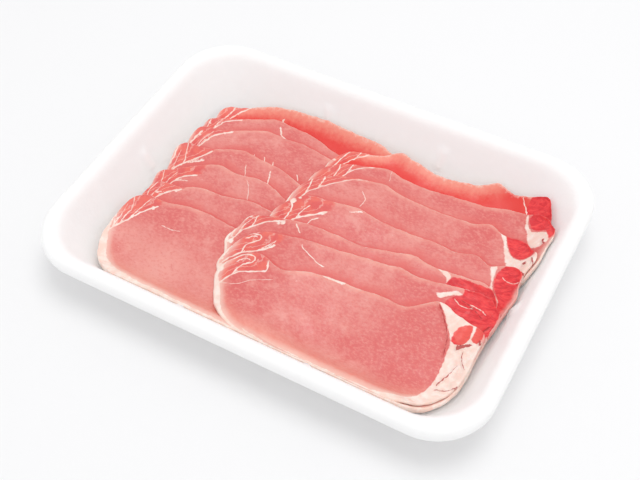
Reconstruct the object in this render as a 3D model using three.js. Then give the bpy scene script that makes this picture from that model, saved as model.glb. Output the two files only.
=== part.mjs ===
// A supermarket pack of thinly sliced pork loin: a white foam tray with two
// shingled rows of seven slices, the right row lying over the ends of the left one.
// Millimetres, +Z up, origin in the middle of the tray's footprint on the table.
// The tray's long side runs along X; the front of the pack is at -Y.
import * as THREE from 'three';

// ---------------------------------------------------------------- tray sizes
const TRAY_LENGTH = 240;
const TRAY_WIDTH = 175;
const CORNER_RADIUS = 29.4;
const CORNER_SHRINK = 0.45;      // how fast the corner radius falls with the inset
const CORNER_STEPS = 7;
const FLOOR_TOP = 3;
const LIP_TOP = 30;

// Section of the tray from the underside, out round the lip and back to the floor:
// [inset from the outer edge, height].
const FOOT = [[21.6, 0], [18.6, 0.5], [16.9, 2.2]];
const OUTER_WALL = [[12.2, 12], [7.8, 21.6]];
const LIP_ROLL = [
  [5.6, 22.7], [1.1, 21.9], [0.1, 23.6], [0, 26], [0.7, 28.5], [2.4, 29.8], [4, LIP_TOP],
];
const LIP_INNER = [[6, 29.5], [7.8, 27.8], [9.2, 25.2]];
const INNER_WALL = [[10.6, 22], [11.7, 19.5], [12.6, 17.4], [14.9, 12.2], [17.1, 7.2]];
const FLOOR_FILLET = [[18.7, 4.6], [21.1, 3.4], [24, FLOOR_TOP]];

// Stacking lugs: upright half-round ribs on the inner walls.
const LUG_X = 37.5;
const LUG_HALF_WIDTH = 3.6;
const LUG_DEPTH = 1.7;
const LUG_BOTTOM = 6;
const LUG_TOP = 20.5;

// --------------------------------------------------------------- slice sizes
const SLICE_THICKNESS = 1.5;
const SLICE_GAP = 0.3;           // clear gap between pieces that touch
const DRAPE_RADIUS = 8;          // how tightly a slice bends over a step
const WALL_DRAPE_RADIUS = 20;    // the rearmost slices lean up the back wall
const EDGE_RADIUS = 1;           // room that a slice keeps round the edges it lies over
const REACH = 20;                // how far a bend is felt, at most
const LIFT = 0.4;                // height of the gentle waves in a slice
const HEEL_FROM_END = 26;        // where the rear edge swells near the right end
const HEEL_SPREAD = 9;
const COLUMNS = 24;
const ROWS = [0, 0.2, 0.4, 0.58, 0.74, 0.88, 1];
const EVENNESS = 0.45;           // 0 crowds the columns at the ends, 1 spaces them evenly
const END_INSET = 0.5;
const CELL = 1;                  // spacing of the height field the slices rest on
const CLEAR_ROUNDS = 6;          // rounds of lifting a face off the pile,
const CLEAR_SHARE = 0.6;         // each by this share of what is missing
const STEEPEST = 1.7;            // most that a steep slice thickens upwards

// Each row, from the front slice on top to the rearmost slice underneath.
// left, right: ends along X; back: rear edge at mid-length; slant: rise of the rear
// edge per 100 mm; each corner is a quarter ellipse, [length along X, depth along Y].
const LEFT_ROW = {
  name: 'slice_left_',
  left: [-100, -98.5, -97, -96.5, -96, -95, -93.5],
  right: [18, 20, 20, 20, 22, 22, 28],
  back: [-18.5, -3, 9.5, 24.5, 47.5, 55.5, 69.5],
  slant: [0, 5, -9, -9, 2, -6, 0],
  depth: [52.3, 67.6, 56, 56, 56, 54, 56],
  backLeft: [[34, 24], [36, 26], [34, 26], [38, 24], [40, 25], [40, 20], [44, 21]],
  frontLeft: [[26, 28], [26, 28], [24, 26], [24, 26], [24, 26], [24, 26], [24, 26]],
  backRight: [34, 22],
  frontRight: [28, 26],
  heel: [0, 0, 0, 0, 0, 0, 0],
};
const RIGHT_ROW = {
  name: 'slice_right_',
  left: [-30.5, -34, -39, -27, -25, -22.5, -19.5],
  right: [98.5, 100.5, 98, 102.5, 102.5, 107, 103],
  back: [-21.5, -6, 2.5, 20.5, 41, 55, 66.5],
  slant: [13, 16, 13, 10, 4, 9, 6],
  depth: [50.3, 65, 54, 54, 54, 54, 54],
  backLeft: [[16, 16], [14, 18], [14, 20], [20, 16], [36, 24], [32, 20], [38, 20]],
  frontLeft: [[30, 28], [38, 42], [34, 30], [28, 26], [28, 26], [28, 26], [28, 26]],
  backRight: [14, 18],
  frontRight: [34, 30],
  heel: [6, 0, 0, 2, 0, 0, 2],
};

// ------------------------------------------------------------------- helpers
const clamp = (value, low, high) => Math.min(high, Math.max(low, value));

function material(color, roughness) {
  return new THREE.MeshStandardMaterial({ color, roughness, metalness: 0 });
}

function closedMesh(name, positions, indices, skin) {
  const geometry = new THREE.BufferGeometry();
  geometry.setAttribute('position', new THREE.Float32BufferAttribute(positions, 3));
  geometry.setIndex(indices);
  geometry.computeVertexNormals();
  const mesh = new THREE.Mesh(geometry, skin);
  mesh.name = name;
  return mesh;
}

// ---------------------------------------------------------------------- tray
const cornerAt = (inset) => CORNER_RADIUS - CORNER_SHRINK * inset;

// Distance outside (+) or inside (-) the rounded rectangle at this inset.
function edgeDistance(x, y, inset) {
  const radius = cornerAt(inset);
  const qx = Math.abs(x) - (TRAY_LENGTH / 2 - inset - radius);
  const qy = Math.abs(y) - (TRAY_WIDTH / 2 - inset - radius);
  const outside = Math.hypot(Math.max(qx, 0), Math.max(qy, 0));
  return outside + Math.min(Math.max(qx, qy), 0) - radius;
}

const INNER_SECTION = [[4, LIP_TOP], ...LIP_INNER, ...INNER_WALL, ...FLOOR_FILLET];

// Height of the tray's inner surface over a point of the plan.
function trayHeight(x, y) {
  let outer = edgeDistance(x, y, INNER_SECTION[0][0]);
  if (outer > 0) return LIP_TOP;
  for (let k = 1; k < INNER_SECTION.length; k += 1) {
    const next = edgeDistance(x, y, INNER_SECTION[k][0]);
    if (next > 0) {
      const blend = outer / (outer - next);
      return THREE.MathUtils.lerp(INNER_SECTION[k - 1][1], INNER_SECTION[k][1], blend);
    }
    outer = next;
  }
  return FLOOR_TOP;
}

// Points round one ring of the tray, anticlockwise, with spare points at the lugs.
function ringPoints(inset) {
  const radius = cornerAt(inset);
  const cx = TRAY_LENGTH / 2 - inset - radius;
  const cy = TRAY_WIDTH / 2 - inset - radius;
  const lug = [-1, -0.5, 0, 0.5, 1].map((k) => k * LUG_HALF_WIDTH);
  const along = [...lug.map((v) => v - LUG_X), ...lug.map((v) => v + LUG_X)];
  const sides = [
    lug.map((v) => [cx + radius, v, Math.abs(v), -1, 0]),
    along.map((v) => [-v, cy + radius, Math.abs(Math.abs(v) - LUG_X), 0, -1]),
    lug.map((v) => [-cx - radius, -v, Math.abs(v), 1, 0]),
    along.map((v) => [v, -cy - radius, Math.abs(Math.abs(v) - LUG_X), 0, 1]),
  ];
  const points = [];
  for (let side = 0; side < 4; side += 1) {
    points.push(...sides[side]);
    const signX = side === 0 || side === 3 ? 1 : -1;
    const signY = side < 2 ? 1 : -1;
    for (let k = 0; k <= CORNER_STEPS; k += 1) {
      const angle = (Math.PI / 2) * (side + k / CORNER_STEPS);
      const x = signX * cx + radius * Math.cos(angle);
      const y = signY * cy + radius * Math.sin(angle);
      points.push([x, y, LUG_HALF_WIDTH, 0, 0]);
    }
  }
  return points;
}

// How far a lug stands out of the wall: round across, and rounded at its top.
function lugDepth(across, height) {
  if (height < LUG_BOTTOM || height > LUG_TOP) return 0;
  const width = Math.cos((Math.PI / 2) * Math.min(1, across / LUG_HALF_WIDTH));
  const top = clamp((LUG_TOP - height) / 3, 0, 1);
  const foot = clamp((height - LUG_BOTTOM) / 3, 0, 1);
  return LUG_DEPTH * width * Math.sqrt(top) * foot;
}

function buildTray() {
  const inner = [...LIP_INNER, ...INNER_WALL, ...FLOOR_FILLET];
  const section = [...FOOT, ...OUTER_WALL, ...LIP_ROLL, ...inner];
  const firstInner = section.length - inner.length;
  const positions = [0, 0, 0];
  let count = 0;
  section.forEach(([inset, height], k) => {
    const ring = ringPoints(inset);
    count = ring.length;
    for (const [x, y, across, nx, ny] of ring) {
      const depth = k < firstInner ? 0 : lugDepth(across, height);
      positions.push(x + nx * depth, y + ny * depth, height);
    }
  });
  positions.push(0, 0, FLOOR_TOP);
  const last = positions.length / 3 - 1;
  const indices = [];
  for (let i = 0; i < count; i += 1) {
    const j = (i + 1) % count;
    indices.push(0, 1 + j, 1 + i);
    for (let k = 0; k < section.length - 1; k += 1) {
      const low = 1 + k * count;
      const high = low + count;
      indices.push(low + i, low + j, high + j, low + i, high + j, high + i);
    }
    const top = 1 + (section.length - 1) * count;
    indices.push(last, top + i, top + j);
  }
  return closedMesh('tray', positions, indices, material(0xf7f6f5, 0.62));
}

// --------------------------------------------------------------- slice shape
// Depth cut away at a distance from an end by a quarter-ellipse corner.
function cornerCut(distance, [length, depth]) {
  const away = clamp(1 - distance / length, 0, 1);
  return depth * (1 - Math.sqrt(Math.max(0, 1 - away * away)));
}

function sliceShape(row, index) {
  const left = row.left[index];
  const right = row.right[index];
  const middle = (left + right) / 2;
  const back = (x) => row.back[index] + (row.slant[index] * (x - middle)) / 100
    - cornerCut(x - left, row.backLeft[index]) - cornerCut(right - x, row.backRight)
    + row.heel[index] * Math.exp(-(((right - HEEL_FROM_END - x) / HEEL_SPREAD) ** 2));
  const front = (x) => row.back[index] - row.depth[index]
    + cornerCut(x - left, row.frontLeft[index]) + cornerCut(right - x, row.frontRight);
  const rearmost = index === row.left.length - 1;
  return { name: row.name + (index + 1), index, rearmost, left, right, back, front };
}

// Gentle waves of a limp slice, never below zero.
function waves(x, y, seed) {
  const a = Math.sin(x / 17 + seed * 1.7) * Math.cos(y / 13 - seed * 0.9);
  const b = Math.sin((x - y) / 23 + seed * 2.3);
  return (LIFT * (2 + a + b)) / 4;
}

// --------------------------------------------------------------- height field
const FIELD_LENGTH = 220;
const FIELD_WIDTH = 160;
const NX = Math.round(FIELD_LENGTH / CELL) + 1;
const NY = Math.round(FIELD_WIDTH / CELL) + 1;
const gridX = (i) => i * CELL - FIELD_LENGTH / 2;
const gridY = (j) => j * CELL - FIELD_WIDTH / 2;

const trayField = new Float64Array(NX * NY);
for (let j = 0; j < NY; j += 1) {
  for (let i = 0; i < NX; i += 1) {
    trayField[j * NX + i] = trayHeight(gridX(i), gridY(j));
  }
}

// One pass of a parabola of the given radius over the field, along one axis:
// sign 1 lifts each point to its neighbours' parabolas, sign -1 lowers it.
function parabolaPass(field, radius, sign, alongX) {
  const reach = Math.ceil(Math.min(REACH, 7 * Math.sqrt(radius)) / CELL);
  const result = new Float64Array(field.length);
  for (let j = 0; j < NY; j += 1) {
    for (let i = 0; i < NX; i += 1) {
      let best = field[j * NX + i];
      for (let k = -reach; k <= reach; k += 1) {
        const p = alongX ? clamp(i + k, 0, NX - 1) : i;
        const q = alongX ? j : clamp(j + k, 0, NY - 1);
        const drop = (k * CELL) ** 2 / (2 * radius);
        const value = field[q * NX + p] - sign * drop;
        best = sign > 0 ? Math.max(best, value) : Math.min(best, value);
      }
      result[j * NX + i] = best;
    }
  }
  return result;
}

// The pile so far as a limp sheet feels it: its edges are passed with some room,
// then hollows and steps are bridged.
function drape(field, radius) {
  let sheet = parabolaPass(field, EDGE_RADIUS, 1, true);
  sheet = parabolaPass(sheet, EDGE_RADIUS, 1, false);
  sheet = sheet.map((height, cell) => Math.max(height, trayField[cell]));
  for (const sign of [1, -1]) {
    sheet = parabolaPass(sheet, radius, sign, true);
    sheet = parabolaPass(sheet, radius, sign, false);
  }
  return sheet;
}

function sampleField(field, x, y) {
  const u = clamp((x - gridX(0)) / CELL, 0, NX - 1.001);
  const v = clamp((y - gridY(0)) / CELL, 0, NY - 1.001);
  const i = Math.floor(u);
  const j = Math.floor(v);
  const near = THREE.MathUtils.lerp(field[j * NX + i], field[j * NX + i + 1], u - i);
  const far = THREE.MathUtils.lerp(field[(j + 1) * NX + i], field[(j + 1) * NX + i + 1], u - i);
  return THREE.MathUtils.lerp(near, far, v - j);
}

// -------------------------------------------------------------- slice solids
// The columns crowd towards both ends, where the outline turns.
function columnX(shape, column) {
  const turn = 0.5 - 0.5 * Math.cos((Math.PI * column) / COLUMNS);
  const even = column / COLUMNS;
  const share = THREE.MathUtils.lerp(turn, even, EVENNESS);
  return THREE.MathUtils.lerp(shape.left + END_INSET, shape.right - END_INSET, share);
}

// Calls visit for each grid point over the slice, or within the margin of it, with
// its column, row and blends.
function eachPointOver(xs, ys, margin, visit) {
  for (let i = 0; i < NX; i += 1) {
    const x = gridX(i);
    if (x < xs[0] - margin || x > xs[COLUMNS] + margin) continue;
    let column = 0;
    while (column < COLUMNS - 1 && xs[column + 1] < x) column += 1;
    const u = clamp((x - xs[column]) / (xs[column + 1] - xs[column]), 0, 1);
    const line = ROWS.map((_, r) => THREE.MathUtils.lerp(ys[column][r], ys[column + 1][r], u));
    for (let j = 0; j < NY; j += 1) {
      const y = gridY(j);
      if (y < line[0] - margin || y > line[ROWS.length - 1] + margin) continue;
      let row = 0;
      while (row < ROWS.length - 2 && line[row + 1] < y) row += 1;
      const v = clamp((y - line[row]) / (line[row + 1] - line[row]), 0, 1);
      visit(j * NX + i, column, row, u, v);
    }
  }
}

function faceHeight(heights, column, row, u, v) {
  const front = THREE.MathUtils.lerp(heights[column][row], heights[column + 1][row], u);
  const back = THREE.MathUtils.lerp(heights[column][row + 1], heights[column + 1][row + 1], u);
  return THREE.MathUtils.lerp(front, back, v);
}

// Lifts the corners of any face that would cut into the pile below.
function clearPile(bottoms, xs, ys, pile) {
  for (let round = 0; round < CLEAR_ROUNDS; round += 1) {
    const lift = bottoms.map((line) => line.map(() => 0));
    eachPointOver(xs, ys, 0, (cell, column, row, u, v) => {
      const floor = Math.max(pile[cell], trayField[cell]) + SLICE_GAP;
      const short = floor - faceHeight(bottoms, column, row, u, v);
      for (const [a, b] of [[0, 0], [1, 0], [0, 1], [1, 1]]) {
        lift[column + a][row + b] = Math.max(lift[column + a][row + b], short);
      }
    });
    bottoms.forEach((line, c) => line.forEach((_, r) => {
      line[r] += CLEAR_SHARE * lift[c][r];
    }));
  }
}

function buildSlice(shape, pile, skin) {
  const radius = shape.rearmost ? WALL_DRAPE_RADIUS : DRAPE_RADIUS;
  const sheet = drape(pile, radius);
  const xs = [];
  const ys = [];
  const bottoms = [];
  for (let c = 0; c <= COLUMNS; c += 1) {
    const x = columnX(shape, c);
    const line = ROWS.map((t) => THREE.MathUtils.lerp(shape.front(x), shape.back(x), t));
    xs.push(x);
    ys.push(line);
    bottoms.push(line.map((y) => sampleField(sheet, x, y) + SLICE_GAP + waves(x, y, shape.index)));
  }
  bottoms.forEach((line, c) => line.forEach((z, r) => {
    line[r] = Math.max(z, trayHeight(xs[c], ys[c][r]) + SLICE_GAP);
  }));
  clearPile(bottoms, xs, ys, pile);
  const last = ROWS.length - 1;
  const tops = bottoms.map((line, c) => line.map((z, r) => {
    const rise = (line[Math.min(r + 1, last)] - line[Math.max(r - 1, 0)])
      / (ys[c][Math.min(r + 1, last)] - ys[c][Math.max(r - 1, 0)]);
    return z + SLICE_THICKNESS * Math.min(STEEPEST, Math.hypot(1, rise));
  }));
  eachPointOver(xs, ys, CELL, (cell, column, row, u, v) => {
    pile[cell] = Math.max(pile[cell], faceHeight(tops, column, row, u, v));
  });

  const positions = [];
  for (const heights of [bottoms, tops]) {
    heights.forEach((line, c) => line.forEach((z, r) => positions.push(xs[c], ys[c][r], z)));
  }
  const width = ROWS.length;
  const layer = (COLUMNS + 1) * width;
  const indices = [];
  const quad = (a, b, c, d) => indices.push(a, b, c, a, c, d);
  for (let c = 0; c < COLUMNS; c += 1) {
    for (let r = 0; r < last; r += 1) {
      const a = c * width + r;
      const b = a + width;
      quad(layer + a, layer + b, layer + b + 1, layer + a + 1);
      quad(a, a + 1, b + 1, b);
    }
    const front = c * width;
    quad(front, front + width, layer + front + width, layer + front);
    const back = front + last;
    quad(back + width, back, layer + back, layer + back + width);
  }
  for (let r = 0; r < last; r += 1) {
    const end = COLUMNS * width + r;
    quad(r + 1, r, layer + r, layer + r + 1);
    quad(end, end + 1, layer + end + 1, layer + end);
  }
  return closedMesh(shape.name, positions, indices, skin);
}

// ------------------------------------------------------------------ assembly
const group = new THREE.Group();
group.add(buildTray());

const pile = new Float64Array(NX * NY).fill(FLOOR_TOP);
const pork = material(0xe5867b, 0.42);
for (const row of [LEFT_ROW, RIGHT_ROW]) {
  for (let index = row.left.length - 1; index >= 0; index -= 1) {
    group.add(buildSlice(sliceShape(row, index), pile, pork));
  }
}

export default group;
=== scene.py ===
"""A white foam tray with two shingled rows of thinly sliced raw pork loin.

Sizes are millimetres, as in the part, and become metres when a mesh is made. The tray and
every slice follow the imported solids' form, with finer surfaces: each slice is draped over
the pile below it, and carries its fat seams, fat rim and end muscle as colour and relief.
"""
import math

import bpy
import numpy as np
from mathutils import Matrix, Vector


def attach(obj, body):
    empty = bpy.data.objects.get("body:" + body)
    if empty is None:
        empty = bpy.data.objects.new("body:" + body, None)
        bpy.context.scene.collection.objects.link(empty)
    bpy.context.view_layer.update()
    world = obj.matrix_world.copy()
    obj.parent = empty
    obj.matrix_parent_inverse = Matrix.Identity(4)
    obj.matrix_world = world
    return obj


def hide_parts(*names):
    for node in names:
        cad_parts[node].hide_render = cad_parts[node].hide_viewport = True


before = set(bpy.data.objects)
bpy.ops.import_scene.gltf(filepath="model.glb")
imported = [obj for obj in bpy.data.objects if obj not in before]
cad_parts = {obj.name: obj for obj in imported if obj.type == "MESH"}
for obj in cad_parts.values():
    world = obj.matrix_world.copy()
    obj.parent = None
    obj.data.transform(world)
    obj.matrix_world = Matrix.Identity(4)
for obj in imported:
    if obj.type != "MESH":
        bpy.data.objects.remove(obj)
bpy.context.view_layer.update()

MM = 0.001

# ------------------------------------------------------------------ tray sizes
TRAY_LENGTH = 240.0
TRAY_WIDTH = 175.0
CORNER_RADIUS = 29.4
CORNER_SHRINK = 0.45             # how fast the corner radius falls with the inset
FLOOR_TOP = 3.0
LIP_TOP = 30.0

# Section of the tray, [inset from the outer edge, height].
FOOT = [[21.6, 0.0], [18.6, 0.5], [16.9, 2.2]]
OUTER_WALL = [[12.2, 12.0], [7.8, 21.6]]
LIP_ROLL = [[5.6, 22.7], [1.1, 21.9], [0.1, 23.6], [0.0, 26.0], [0.7, 28.5], [2.4, 29.8], [4.0, LIP_TOP]]
LIP_INNER = [[6.0, 29.5], [7.8, 27.8], [9.2, 25.2]]
INNER_WALL = [[10.6, 22.0], [11.7, 19.5], [12.6, 17.4], [14.9, 12.2], [17.1, 7.2]]
FLOOR_FILLET = [[18.7, 4.6], [21.1, 3.4], [24.0, FLOOR_TOP]]
SECTION_STEPS = 6                # finer steps between two points of the section
LIP_START = len(FOOT) + len(OUTER_WALL) + len(LIP_ROLL)

LUG_X = 37.5
LUG_HALF_WIDTH = 3.6
LUG_DEPTH = 1.7
LUG_BOTTOM = 6.0
LUG_TOP = 20.5

# ----------------------------------------------------------------- slice sizes
SLICE_THICKNESS = 1.74           # the part's slices and the gap under each, less the gap here
SLICE_GAP = 0.06
SINK = 1.0                       # how far a slice may press into the edges below it
STEEPEST = 1.7                   # most that a steep slice thickens upwards
DRAPE_RADIUS = 8.0               # sharpest bend of a slice over the pile
WALL_DRAPE_RADIUS = 20.0         # sharpest bend of the rearmost slices, against the wall
EDGE_RADIUS = 1.0                # sharpest bend of a slice over the edges below it
REACH = 20.0                     # how far a bend can matter
LIFT = 0.4                       # height of a slice's own waves
FRONT_TOP = 12.6                 # the underside's greatest height against the front wall
HEEL_FROM_END = 26.0
HEEL_SPREAD = 9.0
CELL = 0.5                       # spacing of the height field the slices rest on
SOFT_CELLS = 8                   # how far a slice smooths out the steps below it
FIELD_LENGTH = 220.0
FIELD_WIDTH = 160.0

# Each row, from the front slice on top to the rearmost slice underneath.
LEFT_ROW = {
    "name": "slice_left_",
    "left": [-100, -98.5, -97, -96.5, -96, -95, -93.5],
    "right": [18, 20, 20, 20, 22, 22, 28],
    "back": [-18.5, -3, 9.5, 24.5, 47.5, 55.5, 69.5],
    "slant": [0, 5, -9, -9, 2, -6, 0],
    "depth": [54.4, 66.4, 56, 56, 56, 54, 56],
    "back_left": [[34, 24], [36, 26], [34, 26], [38, 24], [40, 25], [40, 20], [44, 21]],
    "front_left": [[26, 28], [26, 28], [24, 26], [24, 26], [24, 26], [24, 26], [24, 26]],
    "back_right": [34, 22],
    "front_right": [28, 26],
    "heel": [0, 0, 0, 0, 0, 0, 0],
}
RIGHT_ROW = {
    "name": "slice_right_",
    "left": [-30.5, -34, -39, -27, -25, -22.5, -19.5],
    "right": [98.5, 100.5, 98, 102.5, 102.5, 107, 103],
    "back": [-21.5, -6, 2.5, 20.5, 41, 55, 66.5],
    "slant": [13, 16, 13, 10, 4, 9, 6],
    "depth": [51.3, 65, 54, 54, 54, 54, 54],
    "back_left": [[16, 16], [14, 18], [14, 20], [20, 16], [36, 24], [32, 20], [38, 20]],
    "front_left": [[30, 28], [38, 42], [34, 30], [28, 26], [28, 26], [28, 26], [28, 26]],
    "back_right": [14, 18],
    "front_right": [34, 30],
    "heel": [6, 0, 0, 2, 0, 0, 2],
}

# Where a slice's outline swells past its plain shape, or is drawn in: x, y, push and spread.
LEFT_SWELLS = [
    [(-91, -27, 6.5, 9), (-58, -18.5, 2.8, 22)],
    [(-89, -13, 7.0, 8), (-70, -5, 2.2, 10), (-40, -3, 4.0, 18)],
    [(-95, -3, 3.0, 5), (-69, 11.5, 3.0, 8), (-42, 9.5, 6.3, 16)],
    [(-91, 15, 7.0, 7), (-63, 26.5, 4.0, 11), (-42, 24.5, 4.5, 14)],
    [(-91, 32, 5.0, 7), (-61, 46.5, 4.0, 11), (-38, 47, 4.2, 15)],
    [(-93, 43, 2.0, 5), (-60, 56.2, 4.2, 12), (-38, 55, 4.2, 15)],
    [(-90, 56, 2.0, 6), (-35, 69.5, 1.2, 25)],
]
RIGHT_SWELLS = [
    [(-30, -46, 2.5, 7), (98, -38, 1.6, 12), (97, -22, 3.6, 6), (-2, -27, -6.0, 11), (14, -25, -1.5, 8),
     (58, -17, -2.5, 9)],
    [(100, -10, 2.5, 6), (-32, -40, 3.5, 6), (30, -6, 3.0, 13), (47, -3.5, 2.4, 7), (18, -70.5, 2.6, 20),
     (58, -70.5, 2.6, 20), (84, -65, 2.2, 13)],
    [(-34, -10, 3.5, 6), (-39, -26, 1.5, 5), (48, 4.8, 4.0, 10), (34, 3, 1.5, 7)],
    [(102, 5, 2.5, 6), (-14, 12, 1.5, 6), (12, 17.4, 1.8, 8), (68, 24.5, -3.0, 9), (86, 26, -5.0, 8),
     (100, 17, 1.5, 5)],
    [(102, 28, 3.0, 6), (17, 40, 2.2, 6), (36, 40.6, 1.6, 12), (61, 41.5, 1.2, 10), (74.5, 42.3, 4.5, 6)],
    [(107, 46, 1.0, 6), (12, 52, 3.4, 8), (45, 55, 0.8, 20), (79, 58, 2.0, 9)],
    [(-10, 55, 3.0, 7), (94, 66, 2.0, 5), (78, 68.5, -2.0, 5), (14, 65.2, 3.6, 6), (24, 66.3, 1.5, 5),
     (44, 67.6, -1.0, 8), (68, 67.5, 2.8, 6)],
]

# Fat seams of each slice: half width at the start and at the end, and the points between.
# The first seam of a slice parts its eye from the redder muscle at its left end.
LEFT_SEAMS = [
    [
        (0.3, 0.4, [(-99, -51), (-97, -46), (-94, -40), (-91.5, -35), (-88.5, -30), (-83, -24)]),
        (0.22, 0.18, [(-95, -42), (-95, -36), (-94.5, -31), (-97, -24)]),
        (0.22, 0.18, [(-92.5, -36), (-91, -29), (-89, -22)]),
        (0.22, 0.18, [(-97, -45), (-99, -38), (-100, -33), (-99, -27)]),
        (0.2, 0.1, [(-97, -45), (-97, -37), (-97.5, -30)]),
    ],
    [
        (0.3, 0.45, [(-94, -33), (-91, -23), (-88, -17), (-84.5, -12), (-79, -8)]),
        (0.22, 0.18, [(-92.5, -27), (-93, -20), (-94, -15), (-93, -9)]),
        (0.22, 0.18, [(-94, -28), (-96.5, -20), (-97.5, -12)]),
        (0.3, 0.15, [(-90, -15), (-87, -13)]),
        (0.2, 0.1, [(-91, -21), (-91, -15), (-89, -9)]),
    ],
    [
        (0.3, 0.35, [(-93, -18), (-89, -9), (-86.5, -3), (-83, 1), (-77, 4)]),
        (0.22, 0.18, [(-92, -16), (-93, -6), (-96, 2)]),
        (0.2, 0.2, [(-87, -4), (-84, -2), (-80, -1)]),
        (0.2, 0.1, [(-90, -10), (-90, -4), (-88, 2)]),
    ],
    [
        (0.3, 0.45, [(-95, -12), (-93, -2), (-92, 6), (-88, 11), (-84, 15), (-79, 22)]),
        (0.28, 0.2, [(-91, 7), (-89.5, 10), (-91, 15), (-94, 22)]),
        (0.25, 0.25, [(-94, -8), (-96.5, 2), (-96, 9), (-98, 19)]),
        (0.35, 0.45, [(-87, 11), (-84, 12.5), (-80, 15)]),
        (0.2, 0.1, [(-93, 2), (-94, 9), (-95, 16)]),
    ],
    [
        (0.3, 0.5, [(-95, 6), (-91, 17), (-88, 26), (-85, 34), (-78, 41)]),
        (0.28, 0.5, [(-95, 10), (-94.5, 20), (-94, 26), (-92.5, 33)]),
        (0.2, 0.15, [(-90, 20), (-89.5, 28), (-87, 36)]),
    ],
    [
        (0.3, 0.3, [(-95, 24), (-91, 35), (-88, 43), (-86, 48), (-79, 53)]),
        (0.25, 0.2, [(-94, 27), (-93, 38), (-94, 46)]),
        (0.2, 0.15, [(-90, 38), (-89, 46), (-87, 52)]),
        (0.45, 0.25, [(-56, 57), (-53, 53), (-49, 51)]),
        (0.2, 0.2, [(-31, 48), (-28, 46)]),
    ],
    [
        (0.35, 0.35, [(-92, 36), (-89, 44), (-86.5, 51), (-84, 57), (-79, 63)]),
        (0.28, 0.28, [(-91, 42), (-89, 51), (-87.5, 56), (-87, 61)]),
        (0.45, 0.3, [(-57.5, 63), (-57, 59), (-55, 54)]),
    ],
]
RIGHT_SEAMS = [
    [
        (0.32, 0.35, [(-28, -52), (-23.5, -45), (-19.5, -41.5), (-11.5, -38), (-9, -36), (-10.5, -32)]),
        (0.3, 0.28, [(-24, -45.5), (-22, -39), (-17.5, -35), (-18.5, -32), (-23.5, -33), (-28, -38)]),
        (0.1, 0.08, [(-27, -51), (-19, -48.5), (-12.5, -43.5), (-4, -39.5)]),
        (0.3, 0.8, [(17, -26), (22, -25), (27, -23.5)]),
        (0.25, 0.2, [(-25, -38), (-22, -34.8), (-19.5, -34.6)]),
    ],
    [
        (0.32, 0.45, [(-33, -40), (-30.5, -36), (-26, -31), (-20.5, -28), (-15.5, -24.5), (-13, -21.5)]),
        (0.3, 0.28, [(-27, -32), (-26.5, -26), (-22, -21.5), (-23, -18.8), (-28, -20), (-33, -25)]),
        (0.12, 0.25, [(-1, -15), (0.5, -16.5), (9.5, -20), (14, -20.5)]),
        (0.3, 0.25, [(-20, -28), (-17, -24), (-14, -19)]),
        (0.3, 0.2, [(-29, -23), (-25.5, -20.3), (-24, -20.3)]),
        (0.25, 0.15, [(86, -5.5), (91, -6), (94.5, -8)]),
        (0.2, 0.1, [(78, -6), (82, -7.5), (88, -7)]),
    ],
    [
        (0.35, 0.4, [(-38, -29), (-36, -24), (-34.5, -18), (-31, -13.5), (-25, -8.5), (-18, -6)]),
        (0.28, 0.2, [(-33, -16), (-31.5, -12), (-32, -8), (-31, -3)]),
        (0.25, 0.5, [(-37.5, -24), (-38, -16), (-37, -11), (-35, -6)]),
        (0.25, 0.15, [(-35.5, -20), (-35.5, -14), (-33.5, -8)]),
        (0.35, 0.2, [(-10, -5), (-6, -8.5)]),
        (0.2, 0.1, [(80, 2.5), (86, 2.8), (92, 1.5)]),
    ],
    [
        (0.35, 0.6, [(-20, -8), (-15, -3), (-12.5, 0), (-7.5, 4), (-1, 9)]),
        (0.3, 0.22, [(-13, -1), (-12.5, 4), (-10.5, 9)]),
        (0.28, 0.4, [(-19, -6), (-18, 0), (-18.5, 5), (-22, 10)]),
        (0.2, 0.3, [(-6, -1), (-5, 2), (-3, 4)]),
        (0.2, 0.4, [(10, 15), (15, 18)]),
        (0.15, 0.1, [(93, 16), (98, 13), (103, 14)]),
    ],
    [
        (0.3, 0.22, [(-21, 6), (-17, 18), (-13, 22.5), (-7.5, 29), (-1, 35), (8, 39.8)]),
        (0.28, 0.4, [(-17.5, 16), (-18, 23.5), (-20, 31)]),
        (0.3, 0.4, [(-13, 22.5), (-13, 29), (-15, 36)]),
        (0.3, 0.2, [(-24, 6), (-25, 14), (-23, 21)]),
        (0.2, 0.12, [(9, 31), (12.5, 27), (12, 22)]),
    ],
    [
        (0.3, 0.25, [(-12, 24), (-7.5, 34), (-5, 41), (-1.5, 46.5), (5, 52)]),
        (0.28, 0.35, [(-5.5, 40), (-5.5, 49)]),
        (0.28, 0.28, [(-11, 28), (-10.5, 40), (-13, 51)]),
        (0.12, 0.12, [(14, 55), (16, 48)]),
    ],
    [
        (0.3, 0.28, [(-14, 40), (-10, 50), (-7, 55), (1, 63)]),
        (0.28, 0.28, [(-8, 53), (-7, 58), (-5, 65)]),
        (0.28, 0.28, [(-15, 42), (-14, 52), (-12, 62)]),
        (0.2, 0.25, [(83, 68), (86, 64), (88, 61), (91, 56)]),
    ],
]

# Thin veins that cross a slice's eye, as seams are given.
LEFT_VEINS = [
    [(0.12, 0.12, [(-74, -33), (-68, -33), (-64, -32)])],
    [],
    [(0.15, 0.1, [(-50, 12), (-47, 8.5), (-44, 2)])],
    [(0.2, 0.15, [(-57, 22), (-55, 18), (-52, 12)]), (0.35, 0.3, [(-43, 24), (-41, 19), (-40, 14)])],
    [(0.25, 0.2, [(-58, 32), (-55.5, 25)]), (0.2, 0.2, [(-52, 33), (-48, 26)]),
     (0.3, 0.3, [(-46, 32), (-43, 24)]), (0.3, 0.2, [(-30, 30), (-28, 27)])],
    [],
    [],
]

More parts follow.
